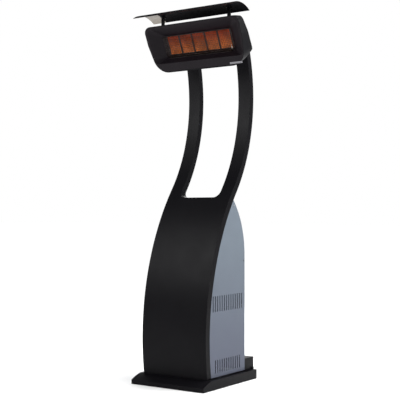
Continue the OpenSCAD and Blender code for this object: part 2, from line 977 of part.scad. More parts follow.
// Spark generator behind the button, with a well for the button's travel
module spark_generator() {
    top = fascia_front - fascia_depth - gap;
    color("#303236") on_controls() difference() {
        translate([button_x - spark_w / 2, -spark_w / 2, top - spark_h])
            cube([spark_w, spark_w, spark_h]);
        translate([button_x, 0, fascia_front - button_root - button_travel - gap])
            cylinder(r = button_r + gap, h = spark_h);
    }
}

// Switch that shuts the gas off if the heater tips over
module tilt_switch() {
    color("#303236") translate([switch_at[0], switch_at[1], base_h]) {
        cube(switch_box);
        translate([switch_box[0] / 2, switch_box[1] / 2, switch_box[2]])
            cylinder(r = switch_dome_r, h = switch_dome_h);
    }
}

// ---- wheels --------------------------------------------------------------

// Folded bracket over the right wheel, with a rolled rear edge
module wheel_bracket() {
    x1 = wheel_x - bracket_w / 2;
    depth = bracket_back - bracket_front;
    h = bracket_top - base_h;
    color("#161618") difference() {
        union() {
            translate([x1, bracket_front, base_h]) cube([bracket_w, depth, h]);
            translate([0, bracket_back, bracket_top - bead_r]) rod_x(bead_r, x1, x1 + bracket_w);
        }
        translate([x1 + wall, bracket_front + wall, base_h - cut])
            cube([bracket_w - 2 * wall, depth + 3 * bead_r, h - 2 * bead_r + cut]);
        translate([x1 + wall, bracket_front + wall, base_h - cut])
            cube([bracket_w - 2 * wall, depth - wall - bead_r, h - wall + cut]);
        translate([0, axle_y, axle_z]) rod_x(axle_r, x1 - cut, x1 + bracket_w + cut);
    }
}

module right_wheel_bracket() { wheel_bracket(); }

module left_wheel_bracket() { mirror([1, 0, 0]) wheel_bracket(); }

module wheel_axle() {
    reach = wheel_x + bracket_w / 2 + axle_out;
    color("#b8bcc0") translate([0, axle_y, axle_z]) {
        rod_x(axle_r, -reach, reach);
        for (x = [-wheel_x, wheel_x], s = [-1, 1]) translate([x, 0, 0]) rotate([0, 0, 90 - 90 * s])
            rod_x(collar_r, hub_reach + gap, bracket_w / 2 - wall - gap);
    }
}

module axle_caps() {
    x = wheel_x + bracket_w / 2 + gap / 2;
    color("#101012") both() translate([0, axle_y, axle_z]) difference() {
        rod_x(collar_r, x, x + cap_h);
        rod_x(axle_r, x - cut, wheel_x + bracket_w / 2 + axle_out);
    }
}

module tyre() {
    color("#232325") translate([wheel_x, axle_y, axle_z]) rotate([0, 90, 0]) rotate_extrude()
        difference() {
            union() {
                translate([rim_r, -wheel_w / 2]) square([wheel_r - rim_r - shoulder, wheel_w]);
                translate([rim_r, shoulder - wheel_w / 2])
                    square([wheel_r - rim_r, wheel_w - 2 * shoulder]);
                for (s = [-1, 1]) translate([wheel_r - shoulder, s * (wheel_w / 2 - shoulder)])
                    circle(shoulder);
            }
            for (s = [-1, 0, 1]) translate([wheel_r, s * groove_pitch])
                square([groove_d, groove_w], center = true);
        }
}

module wheel_hub() {
    color("#3c3d41") translate([wheel_x, axle_y, axle_z]) difference() {
        union() {
            rod_x(rim_r, rim_in - wheel_w / 2, wheel_w / 2 - rim_in);
            rod_x(boss_r, -hub_reach, hub_reach);
        }
        for (s = [-1, 1]) rotate([0, 90 * s, 0]) translate([0, 0, web_half]) difference() {
            cylinder(r = rim_r - rim_t, h = wheel_w);
            translate([0, 0, -cut]) cylinder(r = boss_r, h = wheel_w + 2 * cut);
        }
        for (i = [0:hub_holes - 1]) rotate([i * 360 / hub_holes, 0, 0])
            translate([0, hub_hole_at, 0]) rod_x(hub_hole_r, -wheel_w, wheel_w);
        rod_x(axle_r + running, -bracket_w, bracket_w);
    }
}

module right_tyre() { tyre(); }

module left_tyre() { mirror([1, 0, 0]) tyre(); }

module right_wheel_hub() { wheel_hub(); }

module left_wheel_hub() { mirror([1, 0, 0]) wheel_hub(); }

// ---- head mounting -------------------------------------------------------

// Fixed bracket on the crossbar, with two ears that reach forward to the pivot axis
module pivot_bracket() {
    plate = crest_r + frame_t / 2 - crossbar_d / 2;
    low = by_crossbar(plate, -bracket_h / 2);
    high = by_crossbar(plate, bracket_h / 2);
    color("#1d1d20") {
        difference() {
            on_crossbar() translate([0, -crossbar_d / 2 - wall / 2, 0])
                cube([2 * ear_x + 2 * ear_t, wall, bracket_h], center = true);
            supply_bore();
        }
        both() difference() {
            across(ear_t, ear_x + ear_t / 2) {
                translate([pivot_y, pivot_z]) circle(ear_r);
                polygon([low, high, ear_side(1), ear_side(-1)]);
            }
            translate([0, pivot_y, pivot_z]) rod_x(bolt_r, ear_x - cut, ear_x + ear_t + cut);
        }
    }
}

// A point of the side view near the crossbar: r from the upper bow's axis, and up along the posts
function by_crossbar(r, up) = [
    crest_cy + r * cos(crossbar_angle) - up * sin(crossbar_angle),
    crest_z + r * sin(crossbar_angle) + up * cos(crossbar_angle)
];

// A point on the side of the ear's round end
function ear_side(s) = [
    pivot_y + s * ear_r * sin(-supply_angle), pivot_z + s * ear_r * cos(supply_angle)
];

// Yoke on the back of the burner housing, inside the fixed ears
module head_yoke() {
    x = ear_x - 1 - ear_t;
    color("#1d1d20") on_head() {
        through(housing_back, housing_back + wall) difference() {
            translate([-ear_x + 1, yoke_z1]) square([2 * ear_x - 2, yoke_z2 - yoke_z1]);
            translate([0, pivot_up]) circle(injector_r + gap);
        }
        both() difference() {
            across(ear_t, x + ear_t / 2) {
                translate([pivot_in, pivot_up]) circle(ear_r);
                polygon([[housing_back, yoke_z1], [housing_back, yoke_z2],
                         [pivot_in, pivot_up + ear_r], [pivot_in, pivot_up - ear_r]]);
            }
            translate([0, pivot_in, pivot_up]) rod_x(bolt_r + running, x - cut, x + ear_t + cut);
        }
    }
}

module pivot_bolts() {
    color("#b8bcc0") both() translate([0, pivot_y, pivot_z]) {
        rod_x(bolt_r, ear_x - bolt_in, ear_x + ear_t + 1);
        translate([ear_x + ear_t, 0, 0]) rotate([0, 90, 0])
            cylinder(r = bolt_head_r, h = bolt_head_h, $fn = 6);
        translate([ear_x - bolt_nut_in - gap, 0, 0]) rotate([0, 90, 0])
            cylinder(r = bolt_head_r, h = bolt_nut_h, $fn = 6);
    }
}

// ---- head ----------------------------------------------------------------

// Front view of the head, set in by inset: tight corners at the top, wide ones at the bottom
module head_outline(inset) {
    hull() for (s = [-1, 1]) {
        translate([s * (head_w / 2 - top_corner), head_h - top_corner]) circle(top_corner - inset);
        translate([s * (head_w / 2 - mid_corner), mid_up]) circle(mid_corner - inset);
        translate([s * (head_w / 2 - taper - low_corner), low_corner]) circle(low_corner - inset);
    }
}

// Side view of the casing
module head_side() {
    polygon([[0, 0], [chin_in, chin_up], [crest_in, crest_up], [casing_lip, head_h], [0, head_h]]);
}

// Formed shell with an opening in its back for the burner housing
module head_casing() {
    color("#19191b") on_head() difference() {
        intersection() {
            through(0, 2 * chin_in) head_outline(0);
            across(head_w) head_side();
        }
        intersection() {
            through(-cut, 2 * chin_in) head_outline(sheet_t);
            across(head_w) union() {
                offset(delta = -sheet_t) head_side();
                translate([-cut, lip_low]) square([3 * sheet_t, lip_high - lip_low]);
            }
        }
        translate([0, chin_in, (housing_z1 + housing_z2) / 2])
            cube([housing_w + 2, 2 * chin_in, housing_z2 - housing_z1 + 2], center = true);
    }
}

// A front-view rectangle with rounded corners
module rounded(x, z1, z2, r) {
    hull() for (s = [-1, 1], z = [z1 + r, z2 - r]) translate([s * (x - r), z]) circle(r);
}

// The space in front of the tiles, grown by grow: wide at the face, narrow at the tiles
module dish(grow) {
    hull() {
        through(-0.01, 0) rounded(mouth_x + grow, mouth_z1 - grow, mouth_z2 + grow, mouth_corner);
        through(dish_depth, dish_depth + 0.01)
            rounded(field_x + grow, field_z1 - grow, field_z2 + grow, field_corner);
    }
}

// Front plate of the head with the sloping walls that lead in to the tiles
module head_bezel() {
    inset = sheet_t + gap;
    color("#232427") on_head() difference() {
        union() {
            intersection() {
                through(0, sheet_t) head_outline(inset);
                translate([-head_w / 2, 0, lip_low + gap])
                    cube([head_w, sheet_t, lip_high - lip_low - 2 * gap]);
            }
            dish(dish_t);
        }
        dish(0);
        translate([-head_w / 2, -1, 0]) cube([head_w, 1, head_h]);
        translate([-head_w / 2, dish_depth, 0]) cube([head_w, 1, head_h]);
    }
}

// Sheet box behind the tiles
module burner_housing() {
    color("#8d9095") on_head() difference() {
        translate([-housing_w / 2, housing_front, housing_z1])
            cube([housing_w, housing_back - housing_front, housing_z2 - housing_z1]);
        translate([dish_t - housing_w / 2, housing_front - cut, housing_z1 + dish_t])
            cube([
                housing_w - 2 * dish_t,
                housing_back - housing_front - dish_t + cut,
                housing_z2 - housing_z1 - 2 * dish_t
            ]);
        translate([0, housing_back, pivot_up]) rotate([90, 0, 0])
            cylinder(r = injector_r + gap, h = 4 * dish_t, center = true);
    }
}

// Bright frame with one window for each tile, and a bright lip below them
module burner_frame() {
    lip_z = field_z1 + lip_up;
    color("#a5a7aa") on_head() {
        through(dish_depth + frame_in, dish_depth + frame_in + frame_sheet) difference() {
            translate([frame_side - housing_w / 2, tile_z - tile_h / 2 - frame_edge])
                square([housing_w - 2 * frame_side, tile_h + 2 * frame_edge]);
            for (i = [0:tile_count - 1])
                translate([tile_place(i) - window_w / 2, tile_z - window_h / 2])
                    square([window_w, window_h]);
        }
        across(2 * (field_x - lip_side)) polygon([
            [dish_depth, lip_z + lip_t], [dish_depth, lip_z],
            [dish_depth - lip_in, lip_z - lip_in * lip_slope],
            [dish_depth - lip_in, lip_z + lip_t - lip_in * lip_slope]
        ]);
        translate([lip_side - field_x, dish_depth - 0.5, lip_z])
            cube([2 * (field_x - lip_side), 0.9, lip_t + 1]);
    }
}

function tile_place(i) = (i - (tile_count - 1) / 2) * tile_pitch;

// One perforated ceramic tile, counted from the left
module tile(number) {
    color("#d8743a") on_head()
        translate([tile_place(number - 1) - tile_w / 2, tile_depth, tile_z - tile_h / 2])
            cube([tile_w, tile_t, tile_h]);
}

module tile_1() { tile(1); }

module tile_2() { tile(2); }

module tile_3() { tile(3); }

module tile_4() { tile(4); }

module tile_5() { tile(5); }

// Gas chamber behind the tiles
module plenum_box() {
    front = tile_depth + tile_t + gap;
    back = housing_back - plenum_back;
    x = housing_w / 2 - plenum_side;
    z1 = housing_z1 + plenum_edge;
    z2 = housing_z2 - plenum_edge;
    color("#8d9095") on_head() difference() {
        translate([-x, front, z1]) cube([2 * x, back - front, z2 - z1]);
        translate([dish_t - x, front - cut, z1 + dish_t])
            cube([2 * (x - dish_t), back - front - dish_t + cut, z2 - z1 - 2 * dish_t]);
        translate([0, back, pivot_up]) rotate([90, 0, 0])
            cylinder(r = injector_r + gap, h = 4 * dish_t, center = true);
    }
}

// Wire screen that keeps hands and leaves off the tiles
module mesh_screen() {
    x = screen_columns * screen_pitch / 2;
    z = screen_rows * screen_pitch;
    color("#7d8084") on_head() translate([0, 0, tile_z - 2 - z / 2])
        through(screen_in, screen_in + wire) difference() {
            translate([-x, 0]) square([2 * x, z]);
            for (i = [0:screen_columns - 1], k = [0:screen_rows - 1])
                translate([i * screen_pitch - x + wire / 2, k * screen_pitch + wire / 2])
                    square(screen_pitch - wire);
        }
}

// Spark electrode at the right end of the tiles
module igniter_electrode() {
    color("#e6e2d8") on_head() translate([electrode_x, screen_in + electrode_in, electrode_z]) {
        cylinder(r = electrode_r, h = electrode_h);
        translate([0, 0, electrode_h]) cylinder(r = spark_tip_r, h = spark_tip_h);
    }
}

// Injector on the back of the housing; its bore turns on the end of the supply elbow
module gas_injector() {
    color("#c6a24a") on_head() difference() {
        union() {
            translate([0, pivot_in, pivot_up]) rod_x(swivel_r, -swivel_r, swivel_end);
            translate([0, pivot_in, pivot_up]) rotate([90, 0, 0])
                cylinder(r = injector_r, h = pivot_in - injector_in);
        }
        translate([0, pivot_in, pivot_up])
            rod_x(pipe_r + running, swivel_x - 1, swivel_end + cut);
    }
}

// Blank plate at the lower right of the face
module head_badge() {
    color("#c9ccd0") on_head() translate([badge_x, -badge_out, badge_z])
        cube([badge_w, badge_t, badge_h]);
}

// ---- visor ---------------------------------------------------------------

// Shallow arched sheet over the head
module visor() {
    color("#1a1516") bow(visor_cy, visor_cz, 90 - visor_half, 90 + visor_half)
        translate([visor_r - visor_t, -visor_w / 2]) square([visor_t, visor_w]);
}

// A point of the casing's sloping back, as [depth behind the face, height up the face]
function on_back(up) = [crest_in + (crest_up - up) * (chin_in - crest_in) / (crest_up - chin_up), up];

// Upright brackets from the back of the casing to the underside of the visor
module visor_brackets() {
    tab = visor_r - visor_t - stay_t;
    top_z = visor_cz + sqrt(pow(tab, 2) - pow(stay_y - visor_cy, 2)) + 1;
    foot = [stay_gap, 0];
    color("#101012") both() {
        on_head() across(stay_w, stay_x) polygon([
            on_back(foot_up1) + foot, on_back(foot_up2) + foot,
            on_back(foot_up2) + foot + [stay_t, 0], on_back(foot_up1) + foot + [stay_t, 0]
        ]);
        translate([stay_x - stay_w / 2, stay_y, stay_foot_z])
            cube([stay_w, stay_t, top_z - stay_foot_z]);
        bow(visor_cy, visor_cz, stay_angle - stay_spread, stay_angle + stay_spread)
            translate([tab, stay_x - stay_w / 2]) square([stay_t, stay_w]);
    }
}

module visor_screws() {
    color("#3a3a3c") both() for (x = [-stay_screw_x, stay_screw_x])
        translate([stay_x + x, visor_cy, visor_cz]) rotate([stay_angle - 90, 0, 0])
            translate([0, 0, visor_r]) cylinder(r = stay_screw_r, h = stay_screw_h);
}

base_plate();
base_cover();
base_screws();
front_panel();
left_post();
right_post();
post_caps();
post_crossbar();
left_side_panel();
right_side_panel();
side_panel_screws();
rear_cover();
rear_sill();
rear_door();
door_handle();
door_hinges();
door_hinge_pins();
door_catch();
bottle_ring();
gas_regulator();
regulator_clip();
gas_hose();
gas_valve();
riser_pipe();
control_panel();
control_knob();
valve_stem();
igniter_button();
igniter_bezel();
spark_generator();
tilt_switch();
left_wheel_bracket();
right_wheel_bracket();
wheel_axle();
axle_caps();
left_tyre();
left_wheel_hub();
right_tyre();
right_wheel_hub();
pivot_bracket();
pivot_bolts();
head_yoke();
supply_elbow();
head_casing();
head_bezel();
burner_housing();
burner_frame();
plenum_box();
tile_1();
tile_2();
tile_3();
tile_4();
tile_5();
mesh_screen();
igniter_electrode();
gas_injector();
head_badge();
visor();
visor_brackets();
visor_screws();
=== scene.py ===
import json, math
import bmesh, bpy
from mathutils import Matrix, Vector


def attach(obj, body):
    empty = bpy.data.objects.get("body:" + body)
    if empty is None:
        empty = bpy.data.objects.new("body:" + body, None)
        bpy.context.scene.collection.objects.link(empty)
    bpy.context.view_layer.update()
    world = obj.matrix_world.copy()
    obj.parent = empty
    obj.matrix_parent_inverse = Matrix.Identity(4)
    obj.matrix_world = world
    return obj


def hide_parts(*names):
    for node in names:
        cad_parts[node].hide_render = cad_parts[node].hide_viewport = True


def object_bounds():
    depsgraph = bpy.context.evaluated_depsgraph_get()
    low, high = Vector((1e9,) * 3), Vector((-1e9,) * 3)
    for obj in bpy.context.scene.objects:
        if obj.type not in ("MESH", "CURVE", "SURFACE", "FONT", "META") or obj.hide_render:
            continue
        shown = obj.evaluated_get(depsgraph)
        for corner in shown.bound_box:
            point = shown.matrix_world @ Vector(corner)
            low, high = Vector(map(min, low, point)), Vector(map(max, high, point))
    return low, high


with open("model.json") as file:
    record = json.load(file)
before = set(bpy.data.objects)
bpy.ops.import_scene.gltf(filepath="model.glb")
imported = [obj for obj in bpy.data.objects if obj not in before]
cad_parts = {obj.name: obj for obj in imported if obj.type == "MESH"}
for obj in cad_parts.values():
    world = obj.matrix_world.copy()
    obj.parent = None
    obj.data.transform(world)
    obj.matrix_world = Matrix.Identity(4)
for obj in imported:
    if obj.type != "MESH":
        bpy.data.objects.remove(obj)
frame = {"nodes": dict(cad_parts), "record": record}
cad_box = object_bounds()
nodes = frame["nodes"]
scene = bpy.context.scene

# ---- camera ---------------------------------------------------------------
CAMERA_AT = (3.2707, -4.6794, 1.0429)
CAMERA_TURN = 0.60468
CAMERA_TILT = 0.013454
SENSOR = 36.0
LENS = 82.867
camera_data = bpy.data.cameras.new("camera")
camera_data.sensor_width = SENSOR
camera_data.lens = LENS
camera = bpy.data.objects.new("camera", camera_data)
camera.location = CAMERA_AT
camera.rotation_euler = (math.pi / 2 + CAMERA_TILT, 0, CAMERA_TURN)
scene.collection.objects.link(camera)
scene.camera = camera


# ---- node helpers -----------------------------------------------------------
class Graph:
    """The node tree of one material."""

    def __init__(self, name):
        self.material = bpy.data.materials.new(name)
        self.material.use_nodes = True
        self.tree = self.material.node_tree
        self.tree.nodes.clear()
        self.output = self.tree.nodes.new("ShaderNodeOutputMaterial")
        self.shader = self.tree.nodes.new("ShaderNodeBsdfPrincipled")
        self.link(self.shader.outputs[0], self.output.inputs["Surface"])
        self.place = self.node("ShaderNodeTexCoord").outputs["Object"]

    def node(self, kind, **values):
        made = self.tree.nodes.new(kind)
        for key, value in values.items():
            setattr(made, key, value)
        return made

    def link(self, a, b):
        self.tree.links.new(a, b)

    def fill(self, socket, value):
        if isinstance(value, bpy.types.NodeSocket):
            self.link(value, socket)
        else:
            socket.default_value = value

    def math(self, operation, *values):
        made = self.node("ShaderNodeMath", operation=operation)
        for socket, value in zip(made.inputs, values):
            self.fill(socket, value)
        return made.outputs[0]

    def vector(self, operation, *values, out=0):
        made = self.node("ShaderNodeVectorMath", operation=operation)
        for socket, value in zip(made.inputs, values):
            self.fill(socket, value)
        return made.outputs[out]

    def dot(self, a, b):
        return self.vector("DOT_PRODUCT", a, b, out="Value")

    def ramp(self, value, low, high, to_low=0.0, to_high=1.0):
        made = self.node("ShaderNodeMapRange", interpolation_type="SMOOTHSTEP")
        for socket, number in zip(made.inputs, (value, low, high, to_low, to_high)):
            self.fill(socket, number)
        return made.outputs[0]

    def noise(self, scale, detail=3.0, stretch=None):
        made = self.node("ShaderNodeTexNoise")
        place = self.place
        if stretch:
            place = self.vector("MULTIPLY", place, stretch)
        self.link(place, made.inputs["Vector"])
        made.inputs["Scale"].default_value = scale
        made.inputs["Detail"].default_value = detail
        return made.outputs[0]

    def cells(self, scale, jitter):
        made = self.node("ShaderNodeTexVoronoi")
        self.link(self.place, made.inputs["Vector"])
        made.inputs["Scale"].default_value = scale
        made.inputs["Randomness"].default_value = jitter
        return made.outputs["Distance"]

    def mix(self, factor, a, b):
        made = self.node("ShaderNodeMix", data_type="RGBA")
        self.fill(made.inputs[0], factor)
        for socket, value in ((made.inputs[6], a), (made.inputs[7], b)):
            if not isinstance(value, bpy.types.NodeSocket):
                value = tuple(value) + (1.0,) * (4 - len(value))
            self.fill(socket, value)
        return made.outputs[2]

    def bump(self, height, distance, normal=None):
        made = self.node("ShaderNodeBump")
        made.inputs["Distance"].default_value = distance
        self.link(height, made.inputs["Height"])
        if normal:
            self.link(normal, made.inputs["Normal"])
        return made.outputs[0]

    def edges(self, radius):
        """Rounded normals and a mask that is 1 on sharp edges."""
        rounded = self.node("ShaderNodeBevel", samples=4)
        rounded.inputs["Radius"].default_value = radius
        flat = self.node("ShaderNodeNewGeometry").outputs["Normal"]
        near = self.dot(rounded.outputs[0], flat)
        return rounded.outputs[0], self.ramp(near, 0.995, 0.80)

    def set(self, **values):
        for key, value in values.items():
            self.fill(self.shader.inputs[key.replace("_", " ")], value)


def coated(name, colour, rough, grain=900.0, depth=0.00004, edge=0.0012, wear=None, worn=0.35,
           specular=0.22, patch=0.2):
    """Powder coat, rubber or plastic: a fine grain, faint patches and slightly worn edges."""
    g = Graph(name)
    normal, mask = g.edges(edge)
    patches = g.noise(5.0, 4.0)
    lighter = tuple(min(1.0, c * (1 + patch) + 0.002) for c in colour)
    darker = tuple(c * (1 - patch) for c in colour)
    body = g.mix(patches, darker, lighter)
    scuffs = g.ramp(g.noise(160.0, 2.0), 0.42, 0.62)
    amount = g.math("MULTIPLY", g.math("MULTIPLY", mask, scuffs), worn)
    g.set(Base_Color=g.mix(amount, body, wear or tuple(min(1.0, c * 3 + 0.02) for c in colour)))
    smear = g.noise(9.0, 5.0)
    g.set(Roughness=g.ramp(smear, 0.2, 0.8, rough - 0.03, rough + 0.03))
    g.set(Specular_IOR_Level=specular)
    g.set(Normal=g.bump(g.noise(grain, 2.0), depth, normal))
    return g


def metal(name, colour, rough, stretch=(1.0, 1.0, 30.0), grain=60.0, depth=0.00003, edge=0.0006,
          stain=None, stain_scale=14.0):
    """Bare metal with brushing along one way, and stains where stated."""
    g = Graph(name)
    normal, mask = g.edges(edge)
    lines = g.noise(grain, 3.0, stretch=stretch)
    body = g.mix(lines, tuple(c * 0.82 for c in colour), tuple(min(1.0, c * 1.12) for c in colour))
    if stain:
        body = g.mix(g.ramp(g.noise(stain_scale, 5.0), 0.42, 0.72), body, stain)
    body = g.mix(g.math("MULTIPLY", mask, 0.4), body, tuple(min(1.0, c * 1.35) for c in colour))
    g.set(Base_Color=body, Metallic=1.0)
    g.set(Roughness=g.ramp(lines, 0.2, 0.8, rough - 0.08, rough + 0.1))
    g.set(Normal=g.bump(lines, depth, normal))
    return g


# ---- materials ---------------------------------------------------------------
BLACK = (0.0024, 0.0021, 0.0033)
materials = {
    "black_coat": coated("black_coat", BLACK, 0.40, wear=(0.02, 0.02, 0.024),
                         specular=0.085),
    "grey_coat": coated("grey_coat", (0.132, 0.161, 0.202), 0.46, wear=(0.3, 0.33, 0.37),
                        patch=0.05),
    "bezel_coat": coated("bezel_coat", (0.0062, 0.0040, 0.0062), 0.42, wear=(0.03, 0.02, 0.024),
                         specular=0.12),
    "panel_coat": coated("panel_coat", (0.009, 0.009, 0.01), 0.5, grain=500.0, depth=0.00012,
                         specular=0.15),
    "ballast": coated("ballast", (0.03, 0.028, 0.027), 0.7, grain=220.0, depth=0.0004),
    "dark_screw": metal("dark_screw", (0.06, 0.06, 0.065), 0.42, grain=300.0),
    "bright_steel": metal("bright_steel", (0.62, 0.63, 0.64), 0.3, grain=200.0),
    "satin_steel": metal("satin_steel", (0.5, 0.5, 0.51), 0.3, stretch=(30.0, 30.0, 1.0)),
    "sheet_steel": metal("sheet_steel", (0.34, 0.33, 0.32), 0.36, stretch=(1.0, 30.0, 30.0),
                         stain=(0.13, 0.085, 0.06)),
    "dark_steel": metal("dark_steel", (0.035, 0.03, 0.03), 0.45, stretch=(1.0, 30.0, 30.0),
                        stain=(0.02, 0.014, 0.012)),
    "screen_wire": metal("screen_wire", (0.06, 0.052, 0.05), 0.45, grain=400.0,
                         stain=(0.03, 0.016, 0.012), stain_scale=30.0),
    "badge_metal": metal("badge_metal", (0.20, 0.195, 0.21), 0.4, stretch=(1.0, 40.0, 40.0)),
    "cast_zinc": metal("cast_zinc", (0.42, 0.43, 0.45), 0.5, stretch=(1.0, 1.0, 1.0), grain=500.0,
                       depth=0.00012),
    "brass": metal("brass", (0.62, 0.42, 0.16), 0.3, grain=300.0, stain=(0.32, 0.2, 0.09)),
    "pipe_steel": metal("pipe_steel", (0.3, 0.24, 0.19), 0.4, stretch=(20.0, 20.0, 1.0)),
    "hose_rubber": coated("hose_rubber", (0.012, 0.012, 0.013), 0.6, grain=1500.0, depth=0.00015),
    "tyre_rubber": coated("tyre_rubber", (0.014, 0.014, 0.014), 0.72, grain=1100.0, depth=0.0002,
                          wear=(0.06, 0.055, 0.05)),
    "hub_plastic": coated("hub_plastic", (0.03, 0.03, 0.032), 0.5, grain=700.0),
    "black_plastic": coated("black_plastic", (0.01, 0.01, 0.011), 0.44, grain=1300.0,
                            depth=0.00008),
    "dark_plastic": coated("dark_plastic", (0.02, 0.02, 0.022), 0.48, grain=1300.0,
                           depth=0.00008),
    "pale_plastic": coated("pale_plastic", (0.6, 0.59, 0.56), 0.4, patch=0.06),
    "red_plastic": coated("red_plastic", (0.3, 0.012, 0.01), 0.25, wear=(0.45, 0.06, 0.05)),
    "white_ceramic": coated("white_ceramic", (0.78, 0.76, 0.7), 0.22, patch=0.08),
}

# Painted shade and light: the grey side panels are painted a little darker and more violet towards the
# floor and lighter at the top, standing in for light that falls from above
PANEL_FOOT, PANEL_TIP = 0.05, 0.95
PAINTED_FOOT_SHADE, PAINTED_TIP_LIGHT = (0.74, 0.68, 0.74), (1.12, 1.1, 1.05)
grey = materials["grey_coat"]
grey_paint = grey.shader.inputs["Base Color"].links[0].from_socket
grey_up = grey.ramp(grey.dot(grey.place, (0.0, 0.0, 1.0)), PANEL_FOOT, PANEL_TIP)
# painted shade at the foot, painted light at the top
shade = grey.mix(grey_up, PAINTED_FOOT_SHADE, PAINTED_TIP_LIGHT)
grey.set(Base_Color=grey.vector("MULTIPLY", grey_paint, shade))

# The visor: black, with reddish edges and a painted reflection under its left end: a lighter metallic
# patch that stands in for light from below
VISOR_AXIS = (0.0, -0.0535, 2.0994)
VISOR_MIDDLE = 0.19535
LIT_PATCH_END = -0.262
PAINT_ROUGH, LIT_PATCH_ROUGH = 0.55, 0.28
visor = coated("visor_coat", BLACK, PAINT_ROUGH, edge=0.0016, wear=(0.2, 0.05, 0.04), worn=0.9,
               specular=0.02)
from_axis = visor.vector("SUBTRACT", visor.place, VISOR_AXIS)
from_axis = visor.vector("MULTIPLY", from_axis, (0.0, 1.0, 1.0))
under = visor.math("LESS_THAN", visor.vector("LENGTH", from_axis, out="Value"), VISOR_MIDDLE)
along = visor.dot(visor.place, (1.0, 0.0, 0.0))
# painted reflection: only the left end of the underside gets the lighter metallic patch
under = visor.math("MULTIPLY", under, visor.math("LESS_THAN", along, LIT_PATCH_END))
paint = visor.shader.inputs["Base Color"].links[0].from_socket
reflection_streaks = visor.noise(60.0, 3.0, stretch=(1.0, 20.0, 20.0))
painted_reflection_patch = visor.mix(reflection_streaks, (0.19, 0.17, 0.15), (0.27, 0.25, 0.22))
visor.set(Base_Color=visor.mix(under, paint, painted_reflection_patch), Metallic=under)
visor.set(Roughness=visor.ramp(under, 0.0, 1.0, PAINT_ROUGH, LIT_PATCH_ROUGH))
materials["visor_coat"] = visor

# The tiles: perforated ceramic that glows a dull orange, darker and redder at its top
LEAN = math.radians(25.0)
FACE_FOOT = (0.0, 0.060, 1.940)
UP_FACE = (0.0, -math.sin(LEAN), math.cos(LEAN))
TILE_LOW, TILE_HIGH = 0.098, 0.218
CELL = 0.0105
HOLES_PER_METRE = 480.0
HOT, DULL = (0.46, 0.120, 0.030), (0.26, 0.022, 0.004)
GLOW = 0.85
tiles = Graph("glowing_ceramic")
up = tiles.dot(tiles.vector("SUBTRACT", tiles.place, FACE_FOOT), UP_FACE)
across = tiles.dot(tiles.place, (1.0, 0.0, 0.0))
wave_x = tiles.math("SINE", tiles.math("MULTIPLY", across, 2 * math.pi / CELL))
wave_up = tiles.math("SINE", tiles.math("MULTIPLY", up, 2 * math.pi / CELL))
lattice = tiles.ramp(tiles.math("MULTIPLY", wave_x, wave_up), -0.6, 0.6, 0.2, 1.7)
holes = tiles.ramp(tiles.cells(HOLES_PER_METRE, 0.15), 0.25, 0.5)
drift = tiles.ramp(tiles.noise(16.0, 3.0), 0.3, 0.7, 0.6, 1.35)
height = tiles.ramp(up, TILE_LOW, TILE_HIGH)
glow = tiles.mix(height, HOT, DULL)
level = tiles.math("MULTIPLY", tiles.math("MULTIPLY", lattice, drift), holes)
tiles.set(Base_Color=tiles.mix(holes, (0.010, 0.003, 0.0015), (0.045, 0.017, 0.008)), Roughness=0.85,
          Specular_IOR_Level=0.1)
tiles.set(Emission_Color=glow, Emission_Strength=tiles.math("MULTIPLY", level, GLOW))
tiles.set(Normal=tiles.bump(holes, 0.0006))
materials["glowing_ceramic"] = tiles

slot_of = {s["node"]: s["material_slot"] for s in frame["record"]["subparts"]}
for name, obj in nodes.items():
    obj.data.materials.clear()
    obj.data.materials.append(materials[slot_of[name]].material)

# The hose and the pipe have eight sides, so their faces are shaded as round
for name in ("gas_hose", "riser_pipe"):
    for face in nodes[name].data.polygons:
        face.use_smooth = True


# ---- pieces ------------------------------------------------------------------
def finish_piece(name, mesh, body, slot, replaced=()):
    """Turns a bmesh into an object that rides on a body."""
    data = bpy.data.meshes.new(name)
    mesh.to_mesh(data)
    mesh.free()
    obj = bpy.data.objects.new(name, data)
    scene.collection.objects.link(obj)
    obj.data.materials.append(materials[slot].material)
    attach(obj, body)
    if replaced:
        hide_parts(*replaced)
    return obj


def lathe(mesh, outline, place, sides):
    """Turns an outline of (radius, height) about Z and puts it at place."""
    rings = []
    for radius, z in outline:
        rings.append([
            mesh.verts.new(place @ Vector((radius * math.cos(2 * math.pi * i / sides),
                                           radius * math.sin(2 * math.pi * i / sides), z)))
            for i in range(sides)
        ])
    for a, b in zip(rings, rings[1:]):
        for i in range(sides):
            j = (i + 1) % sides
            face = mesh.faces.new((a[i], a[j], b[j], b[i]))
            face.smooth = True
    mesh.faces.new(list(reversed(rings[0])))
    mesh.faces.new(rings[-1])


def tube(mesh, path, radius, sides=6):
    """A closed tube along a list of points."""
    rings = []
    side = None
    for i, point in enumerate(path):
        ahead = (path[min(i + 1, len(path) - 1)] - path[max(i - 1, 0)]).normalized()
        if side is None:
            side = ahead.orthogonal().normalized()
        side = (side - ahead * side.dot(ahead)).normalized()
        other = ahead.cross(side)
        rings.append([
            mesh.verts.new(point + radius * (math.cos(2 * math.pi * k / sides) * side
                                             + math.sin(2 * math.pi * k / sides) * other))
            for k in range(sides)
        ])
    for a, b in zip(rings, rings[1:]):
        for k in range(sides):
            m = (k + 1) % sides
            face = mesh.faces.new((a[k], a[m], b[m], b[k]))
            face.smooth = True
    mesh.faces.new(list(reversed(rings[0])))
    mesh.faces.new(rings[-1])


TO_HEAD = Matrix.Translation(FACE_FOOT) @ Matrix.Rotation(LEAN, 4, "X")


def on_head(x, depth, up_face):
    """A point of the head: across, behind the face, up the face."""
    return TO_HEAD @ Vector((x, depth, up_face))


# Woven wire screen in front of the tiles
SCREEN_X = 0.256
SCREEN_LOW, SCREEN_HIGH = 0.0915, 0.2205
SCREEN_IN = 0.0448
PITCH = 0.0116
WIRE = 0.0011
WIRE_SIDES = 5
RIM = 0.0013
RIM_SIDES = 8
STEPS = 2


